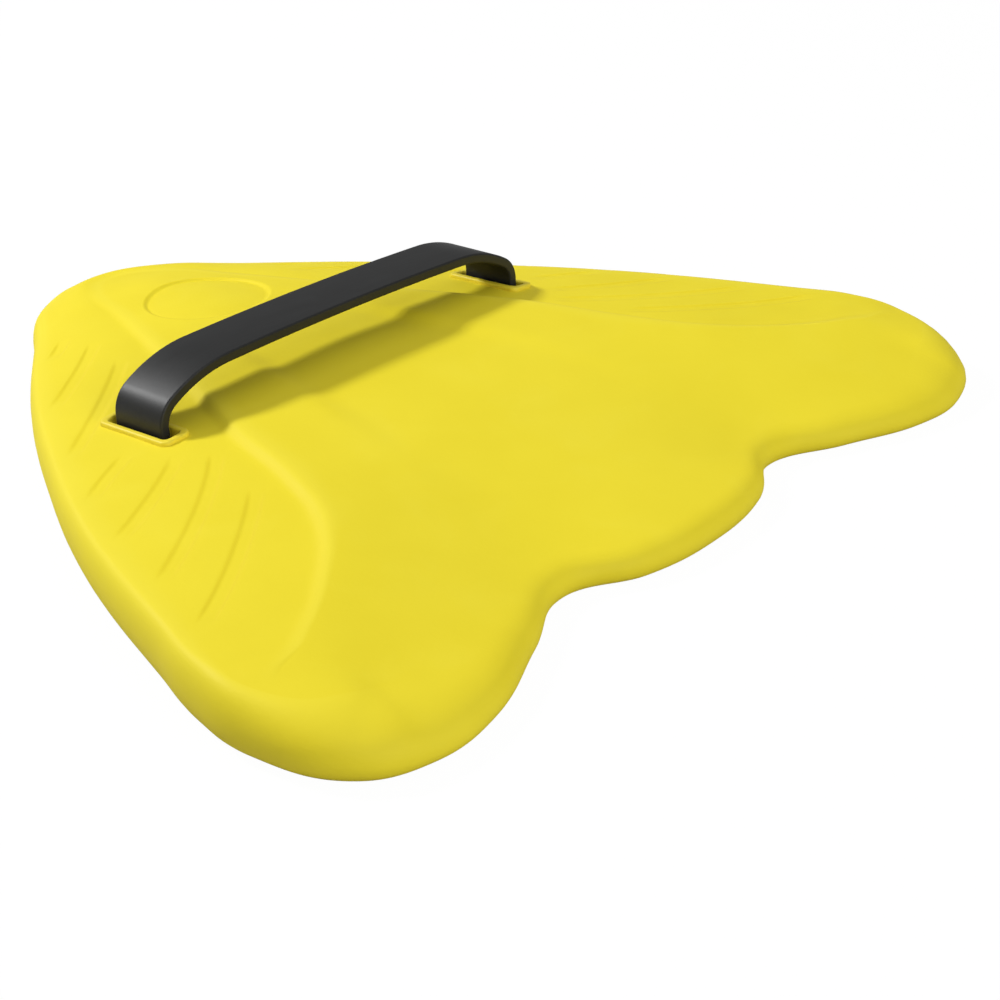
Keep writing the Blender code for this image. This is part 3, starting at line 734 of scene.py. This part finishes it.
class KICKBOARD_OT_foam_board(bpy.types.Operator):
    """Loft the board, carve its grooves and recess, and cut its slots"""

    bl_idname = "kickboard.foam_board"
    bl_label = "Foam board"

    def execute(self, context):
        board = context.scene.kickboard_board
        bm, upper = board_shell(board)
        relax(bm, upper, TOP_SMOOTHING)
        bm.normal_update()
        relax(bm, refine(bm, board), DETAIL_SMOOTHING)
        top = [vert for vert in bm.verts if vert.normal.z > TOP_FACING]
        x, y = plan_arrays(top)
        carved, sides = groove_cut(board, np.abs(x), y)
        lift(top, -board.groove_depth * carved - board.medallion_depth * medallion_cut(board, x, y))
        # Painted shade on the groove walls, kept as a share on each vertex
        hollow = bm.verts.layers.float["hollow"]
        for vert, share in zip(top, sides):
            vert[hollow] = share
        piece = add_piece("foam_board", bm, foam_skin(board))
        cut_away(piece, slot_cutter(context.scene.kickboard_slots))
        soften_shading(piece.data)
        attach(piece, "board")
        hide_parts("board_body")
        return {"FINISHED"}


class KICKBOARD_OT_slot_lips(bpy.types.Operator):
    """Ring each slot with a sleeve and a lip that follows the deck"""

    bl_idname = "kickboard.slot_lips"
    bl_label = "Slot lips"

    def execute(self, context):
        slots = context.scene.kickboard_slots
        deck = BVHTree.FromObject(bpy.data.objects["foam_board"], context.evaluated_depsgraph_get())
        material = lip_skin(slots)
        bottom, top = LINER_LOW.z, LINER_HIGH.z
        under = top - slots.lip_height + slots.seat_gap
        slot, sleeve, lip = slot_sizes(slots)
        beside = tuple(size + 4 * slots.seat_gap for size in lip)
        loops = (
            (*slot, bottom), (*slot, top), (*lip, top), (*lip, under), (*sleeve, under),
            (*sleeve, bottom))
        for name, side in SIDES:
            place = slot_place(side)
            rings = [[point + place for point in rounded_loop(*loop)] for loop in loops]
            for index, point in enumerate(rounded_loop(*beside, 1.0)):
                height = deck.ray_cast(point + place, Vector((0, 0, -1)))[0].z + slots.lip_proud
                for ring in rings[1:3]:
                    ring[index].z = height
            bm = bmesh.new()
            verts = start_ring(bm, rings[0])
            for ring in rings[1:] + rings[:1]:
                verts = grow_ring(bm, verts, ring)
            bmesh.ops.remove_doubles(bm, verts=bm.verts, dist=WELD)
            bmesh.ops.recalc_face_normals(bm, faces=bm.faces)
            rims = [
                edge for edge in bm.edges
                if edge.calc_face_angle() > RIM_ANGLE
                and min(vert.co.z for vert in edge.verts) > under + WELD]
            bmesh.ops.bevel(
                bm, geom=rims, offset=slots.lip_round, offset_type="OFFSET", segments=4,
                profile=0.5, affect="EDGES", material=-1)
            piece = add_piece("slot_lip_" + name, bm, material)
            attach(piece, "board")
            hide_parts("slot_liner_" + name)
        return {"FINISHED"}


def strap_section(bm, strap):
    """Rounded strap section in the plane Y, Z, centred on the origin."""
    verts = []
    for point in rounded_loop(strap.width, strap.thickness, strap.corner, 0.0):
        verts.append(bm.verts.new((0, point.y, point.x)))
    return bm.faces.new(verts)


def drop_inner(bm, faces):
    """Remove the faces left inside the band where a new stretch starts."""
    inner = [
        face for face in faces
        if face.is_valid and all(len(edge.link_faces) > 2 for edge in face.edges)]
    bmesh.ops.delete(bm, geom=inner, context="FACES_ONLY")


def bend(bm, faces, centre, turn, steps):
    """Carry the strap's end round an axis along Y."""
    grown = bmesh.ops.spin(
        bm, geom=faces, cent=centre, axis=(0, 1, 0), angle=turn, steps=steps, use_duplicate=False)
    drop_inner(bm, faces)
    return [item for item in grown["geom_last"] if isinstance(item, bmesh.types.BMFace)]


def run_straight(bm, faces, move):
    grown = bmesh.ops.extrude_face_region(bm, geom=faces)["geom"]
    verts = [item for item in grown if isinstance(item, bmesh.types.BMVert)]
    bmesh.ops.translate(bm, verts=verts, vec=move)
    drop_inner(bm, faces)
    return [item for item in grown if isinstance(item, bmesh.types.BMFace)]


class KICKBOARD_OT_hand_strap(bpy.types.Operator):
    """Run the strap's section from curl to curl over the deck"""

    bl_idname = "kickboard.hand_strap"
    bl_label = "Hand strap"

    def execute(self, context):
        strap = context.scene.kickboard_strap
        middle_y = (STRAP_LOW.y + STRAP_HIGH.y) / 2
        bar = (BAR_LOW + BAR_HIGH) / 2
        leg_x = STRAP_HIGH.x - strap.thickness / 2
        shoulder_end = strap.bend_turn + strap.shoulder_turn
        bend_centre = Vector((-leg_x + strap.bend_radius, middle_y, strap.leg_top))
        toward = Vector((-math.cos(strap.bend_turn), 0, math.sin(strap.bend_turn)))
        shoulder_centre = bend_centre + toward * (strap.bend_radius - strap.shoulder_radius)
        toward = Vector((-math.cos(shoulder_end), 0, math.sin(shoulder_end)))
        crown_radius = strap.shoulder_radius - shoulder_centre.x / math.cos(shoulder_end)
        crown_centre = shoulder_centre + toward * (strap.shoulder_radius - crown_radius)
        crown_centre.x = 0.0
        crown_turn = math.pi - 2 * shoulder_end

        bm = bmesh.new()
        curl_centre = Vector((-bar.x, middle_y, bar.z))
        face = strap_section(bm, strap)
        foot = Vector((-leg_x, middle_y, bar.z))
        bmesh.ops.translate(bm, verts=face.verts, vec=foot)
        for centre, turn in ((foot, -math.pi / 2), (curl_centre, -strap.curl_turn)):
            bmesh.ops.rotate(
                bm, verts=face.verts, cent=centre, matrix=Matrix.Rotation(turn, 3, "Y"))
        across = Vector((-1, 1, 1))
        end = bend(bm, [face], curl_centre, strap.curl_turn, CURL_STEPS)
        end = run_straight(bm, end, Vector((0, 0, strap.leg_top - bar.z)))
        end = bend(bm, end, bend_centre, strap.bend_turn, BEND_STEPS)
        end = bend(bm, end, shoulder_centre, strap.shoulder_turn, SHOULDER_STEPS)
        end = bend(bm, end, crown_centre, crown_turn, CROWN_STEPS)
        end = bend(bm, end, shoulder_centre * across, strap.shoulder_turn, SHOULDER_STEPS)
        end = bend(bm, end, bend_centre * across, strap.bend_turn, BEND_STEPS)
        end = run_straight(bm, end, Vector((0, 0, bar.z - strap.leg_top)))
        bend(bm, end, curl_centre * across, strap.curl_turn, CURL_STEPS)
        bmesh.ops.recalc_face_normals(bm, faces=bm.faces)
        piece = add_piece("rubber_strap", bm, strap_rubber(strap))
        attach(piece, "strap")
        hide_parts("hand_strap")
        return {"FINISHED"}


class KICKBOARD_OT_anchors(bpy.types.Operator):
    """Finish the plates and bars that hold the strap below the slots"""

    bl_idname = "kickboard.anchors"
    bl_label = "Anchor plates and bars"

    def execute(self, context):
        plastic, steel = plate_plastic(), bar_steel()
        for name, _ in SIDES:
            for kind, material in (("plate", plastic), ("bar", steel)):
                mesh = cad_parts[f"anchor_{kind}_{name}"].data
                mesh.materials.clear()
                mesh.materials.append(material)
        return {"FINISHED"}


def new_group(name, inputs, outputs):
    """Empty shader node group with a vector input and the named value sockets."""
    group = bpy.data.node_groups.new(name, "ShaderNodeTree")
    add = group.interface.new_socket
    add(name="Vector", in_out="INPUT", socket_type="NodeSocketVector")
    for way, sockets in (("INPUT", inputs), ("OUTPUT", outputs)):
        for socket in sockets:
            add(name=socket, in_out=way, socket_type="NodeSocketFloat")
    return group, group.nodes.new("NodeGroupInput"), group.nodes.new("NodeGroupOutput")


def skin_grain():
    """Fine closed grain of a moulded skin, with its slow change of tone."""
    name = "skin_grain"
    if name in bpy.data.node_groups:
        return bpy.data.node_groups[name]
    group, start, end = new_group(name, ("Grain", "Cells"), ("Height", "Tone"))
    nodes, links = group.nodes, group.links
    grain = nodes.new("ShaderNodeTexNoise")
    grain.inputs["Detail"].default_value = 4
    cells = nodes.new("ShaderNodeTexVoronoi")
    tone = nodes.new("ShaderNodeTexNoise")
    tone.inputs["Scale"].default_value = 26
    tone.inputs["Detail"].default_value = 5
    for texture in (grain, cells, tone):
        links.new(start.outputs["Vector"], texture.inputs["Vector"])
    links.new(start.outputs["Grain"], grain.inputs["Scale"])
    links.new(start.outputs["Cells"], cells.inputs["Scale"])
    add = nodes.new("ShaderNodeMath")
    add.operation = "MULTIPLY_ADD"
    add.inputs[1].default_value = 0.5
    links.new(cells.outputs["Distance"], add.inputs[0])
    links.new(grain.outputs["Fac"], add.inputs[2])
    links.new(add.outputs[0], end.inputs["Height"])
    links.new(tone.outputs["Fac"], end.inputs["Tone"])
    return group


def handling_marks():
    """Sparse soft smears left by hands."""
    name = "handling_marks"
    if name in bpy.data.node_groups:
        return bpy.data.node_groups[name]
    group, start, end = new_group(name, ("Scale",), ("Mask",))
    nodes, links = group.nodes, group.links
    smear = nodes.new("ShaderNodeTexNoise")
    smear.inputs["Detail"].default_value = 6
    smear.inputs["Distortion"].default_value = 0.8
    links.new(start.outputs["Vector"], smear.inputs["Vector"])
    links.new(start.outputs["Scale"], smear.inputs["Scale"])
    sparse = nodes.new("ShaderNodeMapRange")
    sparse.inputs["From Min"].default_value = 0.5
    sparse.inputs["From Max"].default_value = 0.75
    links.new(smear.outputs["Fac"], sparse.inputs["Value"])
    links.new(sparse.outputs["Result"], end.inputs["Mask"])
    return group


class Finish:
    """A material being wired: its shader, its object coordinates and small helpers."""

    def __init__(self, name, roughness, metallic=0.0, specular=0.5):
        self.material = bpy.data.materials.new(name)
        self.material.use_nodes = True
        self.nodes = self.material.node_tree.nodes
        self.links = self.material.node_tree.links
        self.shader = self.nodes["Principled BSDF"]
        self.shader.inputs["Roughness"].default_value = roughness
        self.shader.inputs["Metallic"].default_value = metallic
        self.shader.inputs["Specular IOR Level"].default_value = specular
        self.place = self.nodes.new("ShaderNodeTexCoord").outputs["Object"]

    def attribute(self, name):
        node = self.nodes.new("ShaderNodeAttribute")
        node.attribute_name = name
        return node.outputs["Fac"]

    def stretched(self, scale):
        mapping = self.nodes.new("ShaderNodeMapping")
        mapping.inputs["Scale"].default_value = scale
        self.links.new(self.place, mapping.inputs["Vector"])
        return mapping.outputs["Vector"]

    def group(self, tree, vector=None, **values):
        node = self.nodes.new("ShaderNodeGroup")
        node.node_tree = tree
        self.links.new(vector or self.place, node.inputs["Vector"])
        for socket, value in values.items():
            node.inputs[socket].default_value = value
        return node.outputs

    def spread(self, value, low, high, low_to=0.0, high_to=1.0):
        node = self.nodes.new("ShaderNodeMapRange")
        ends = {"From Min": low, "From Max": high, "To Min": low_to, "To Max": high_to}
        for socket, number in ends.items():
            node.inputs[socket].default_value = number
        self.links.new(value, node.inputs["Value"])
        return node.outputs["Result"]

    def blend(self, share, first, second):
        """Colour between two colours, each a plain colour or an output."""
        node = self.nodes.new("ShaderNodeMix")
        node.data_type = "RGBA"
        self.links.new(share, node.inputs["Factor"])
        sides = [socket for socket in node.inputs if socket.type == "RGBA"]
        for socket, colour in zip(sides, (first, second)):
            if isinstance(colour, bpy.types.NodeSocket):
                self.links.new(colour, socket)
            else:
                socket.default_value = colour
        return next(socket for socket in node.outputs if socket.type == "RGBA")

    def colour(self, output):
        self.links.new(output, self.shader.inputs["Base Color"])

    def roughness(self, output):
        self.links.new(output, self.shader.inputs["Roughness"])

    def bump(self, height, strength, distance):
        node = self.nodes.new("ShaderNodeBump")
        node.inputs["Strength"].default_value = strength
        node.inputs["Distance"].default_value = distance
        self.links.new(height, node.inputs["Height"])
        self.links.new(node.outputs["Normal"], self.shader.inputs["Normal"])


def foam_skin(board):
    """Matte moulded foam with a fine closed grain, hand smears, painted shade on the sides of the
    grooves and a painted highlight along the crests and the leading edge.
    """
    finish = Finish("board_foam_skin", 0.6, specular=0.2)
    grain = finish.group(skin_grain(), Grain=900, Cells=420)
    marks = finish.group(handling_marks(), Scale=34)
    tone = finish.spread(grain["Tone"], 0.35, 0.65)
    colour = finish.blend(tone, tuple(board.foam_deep), tuple(board.foam))
    # Painted shade on the groove sides, painted highlight along the crests and the leading edge,
    # and real hand smears
    tints = (
        (finish.attribute("hollow"), 0.5, board.foam_groove_shade),
        (finish.attribute("rub"), 0.7, board.foam_highlight_and_smear),
        (marks["Mask"], 0.35, board.foam_highlight_and_smear))
    for mask, most, tint in tints:
        colour = finish.blend(finish.spread(mask, 0, 1, 0, most), colour, tuple(tint))
    finish.colour(colour)
    finish.roughness(finish.spread(grain["Tone"], 0.3, 0.7, 0.56, 0.66))
    finish.bump(grain["Height"], 0.10, 0.0004)
    return finish.material


def lip_skin(slots):
    """Smoother moulded yellow of the slot lips."""
    finish = Finish("slot_lip_skin", 0.45, specular=0.4)
    grain = finish.group(skin_grain(), Grain=1100, Cells=600)
    base = tuple(slots.lip_colour)
    deep = tuple(0.94 * part for part in base[:3]) + (1,)
    finish.colour(finish.blend(finish.spread(grain["Tone"], 0.35, 0.65), deep, base))
    finish.roughness(finish.spread(grain["Tone"], 0.3, 0.7, 0.42, 0.52))
    finish.bump(grain["Height"], 0.08, 0.0003)
    return finish.material


def strap_rubber(strap):
    """Satin black rubber with a fine lengthwise drag and a dull film."""
    finish = Finish("strap_satin_rubber", 0.45, specular=0.35)
    drag = finish.group(skin_grain(), finish.stretched((0.12, 1, 1)), Grain=1300, Cells=700)
    marks = finish.group(handling_marks(), finish.stretched((0.5, 1, 1)), Scale=60)
    dust = tuple(strap.rubber_dust)
    film = finish.blend(finish.spread(drag["Tone"], 0.35, 0.7), tuple(strap.rubber), dust)
    finish.colour(finish.blend(finish.spread(marks["Mask"], 0, 1, 0, 0.5), film, dust))
    finish.roughness(finish.spread(drag["Tone"], 0.3, 0.7, 0.42, 0.52))
    finish.bump(drag["Height"], 0.08, 0.0003)
    return finish.material


def plate_plastic():
    """Dark grained plastic of the plates in the sole."""
    finish = Finish("plate_grained_plastic", 0.5)
    grain = finish.group(skin_grain(), Grain=1000, Cells=800)
    marks = finish.group(handling_marks(), Scale=90)
    tone = finish.blend(finish.spread(grain["Tone"], 0.3, 0.7), *PLATE_GREYS)
    finish.colour(finish.blend(finish.spread(marks["Mask"], 0, 1, 0, 0.4), tone, PLATE_SCUFF))
    finish.roughness(finish.spread(grain["Tone"], 0.3, 0.7, 0.45, 0.58))
    finish.bump(grain["Height"], 0.15, 0.0003)
    return finish.material


def bar_steel():
    """Drawn steel of the bars, streaked along their length."""
    finish = Finish("bar_drawn_steel", 0.3, metallic=1.0)
    drawn = finish.group(skin_grain(), finish.stretched((1, 0.04, 1)), Grain=2200, Cells=900)
    finish.colour(finish.blend(finish.spread(drawn["Tone"], 0.3, 0.7), *STEEL_GREYS))
    finish.roughness(finish.spread(drawn["Height"], 0.4, 1.0, 0.24, 0.42))
    finish.bump(drawn["Height"], 0.06, 0.0002)
    return finish.material


def seen_directly(nodes, links):
    """1 where the eye looks straight at a surface, also through glass, else 0."""
    path = nodes.new("ShaderNodeLightPath")
    either = nodes.new("ShaderNodeMath")
    either.operation = "MAXIMUM"
    links.new(path.outputs["Is Camera Ray"], either.inputs[0])
    links.new(path.outputs["Is Transmission Ray"], either.inputs[1])
    return either.outputs[0]


def floor_material(stage):
    """Pale matte floor that reads white and keeps a faint shadow."""
    material = bpy.data.materials.new("pale_floor")
    material.use_nodes = True
    nodes, links = material.node_tree.nodes, material.node_tree.links
    shader = nodes["Principled BSDF"]
    shader.inputs["Base Color"].default_value = tuple(stage.floor)
    shader.inputs["Roughness"].default_value = 0.9
    shader.inputs["Specular IOR Level"].default_value = 0.1
    white = nodes.new("ShaderNodeEmission")
    white.inputs["Strength"].default_value = stage.floor_white
    share = nodes.new("ShaderNodeMath")
    share.operation = "MULTIPLY"
    share.inputs[1].default_value = stage.floor_glow
    links.new(seen_directly(nodes, links), share.inputs[0])
    blend = nodes.new("ShaderNodeMixShader")
    links.new(share.outputs[0], blend.inputs["Fac"])
    links.new(shader.outputs[0], blend.inputs[1])
    links.new(white.outputs[0], blend.inputs[2])
    links.new(blend.outputs[0], nodes["Material Output"].inputs["Surface"])
    return material


def add_lamp(name, power, place, side):
    """Square lamp that faces the board."""
    lamp = bpy.data.lights.new(name, "AREA")
    lamp.size = side
    lamp.energy = power
    thing = bpy.data.objects.new(name, lamp)
    thing.location = place
    thing.rotation_euler = (LAMP_AIM - Vector(place)).to_track_quat("-Z", "Y").to_euler()
    bpy.context.scene.collection.objects.link(thing)


class KICKBOARD_OT_stage(bpy.types.Operator):
    """Lay the floor, hang the lamps and set the camera"""

    bl_idname = "kickboard.stage"
    bl_label = "Stage"

    def execute(self, context):
        stage = context.scene.kickboard_stage
        scene = context.scene
        scene.view_settings.view_transform = "Standard"
        bm = bmesh.new()
        bmesh.ops.create_grid(bm, x_segments=4, y_segments=4, size=FLOOR_HALF)
        bmesh.ops.translate(bm, verts=bm.verts, vec=(0, 0, -FLOOR_DROP))
        add_piece("floor", bm, floor_material(stage))

        world = bpy.data.worlds.new("studio")
        world.use_nodes = True
        nodes, links = world.node_tree.nodes, world.node_tree.links
        background = nodes["Background"]
        background.inputs["Color"].default_value = (1, 1, 1, 1)
        level = nodes.new("ShaderNodeMapRange")
        level.inputs["To Min"].default_value = stage.fill
        links.new(seen_directly(nodes, links), level.inputs["Value"])
        links.new(level.outputs["Result"], background.inputs["Strength"])
        scene.world = world

        for name, power, place, side in LAMPS:
            add_lamp(name, getattr(stage, power), place, side)

        camera = bpy.data.cameras.new("camera")
        camera.lens = stage.lens
        camera.sensor_width = SENSOR_WIDTH
        camera.clip_start = 0.01
        thing = bpy.data.objects.new("camera", camera)
        turn = Vector(stage.gaze).to_track_quat("-Z", "Y").to_matrix()
        turn = turn @ Matrix.Rotation(stage.roll, 3, "Z")
        thing.location = stage.eye
        thing.rotation_euler = turn.to_euler()
        scene.collection.objects.link(thing)
        scene.camera = thing
        return {"FINISHED"}


OPERATORS = (
    KICKBOARD_OT_foam_board, KICKBOARD_OT_slot_lips, KICKBOARD_OT_hand_strap, KICKBOARD_OT_anchors,
    KICKBOARD_OT_stage)
GROUPS = (
    ("kickboard_board", KickboardBoard), ("kickboard_slots", KickboardSlots),
    ("kickboard_strap", KickboardStrap), ("kickboard_stage", KickboardStage))


class KICKBOARD_PT_pieces(bpy.types.Panel):
    """Sizes, colours and makers of the kickboard's pieces"""

    bl_label = "Kickboard"
    bl_idname = "KICKBOARD_PT_pieces"
    bl_space_type = "VIEW_3D"
    bl_region_type = "UI"
    bl_category = "Kickboard"

    def draw(self, context):
        for operator in OPERATORS:
            self.layout.operator(operator.bl_idname)
        for holder, group in GROUPS:
            box = self.layout.box()
            for name in group.__annotations__:
                box.prop(getattr(context.scene, holder), name)


def register():
    for holder, group in GROUPS:
        bpy.utils.register_class(group)
        setattr(bpy.types.Scene, holder, PointerProperty(type=group))
    for kind in OPERATORS + (KICKBOARD_PT_pieces,):
        bpy.utils.register_class(kind)


def unregister():
    for kind in reversed(OPERATORS + (KICKBOARD_PT_pieces,)):
        bpy.utils.unregister_class(kind)
    for holder, group in reversed(GROUPS):
        delattr(bpy.types.Scene, holder)
        bpy.utils.unregister_class(group)


def main():
    register()
    bpy.ops.kickboard.foam_board()
    bpy.ops.kickboard.slot_lips()
    bpy.ops.kickboard.hand_strap()
    bpy.ops.kickboard.anchors()
    bpy.ops.kickboard.stage()


if __name__ == "__main__":
    main()
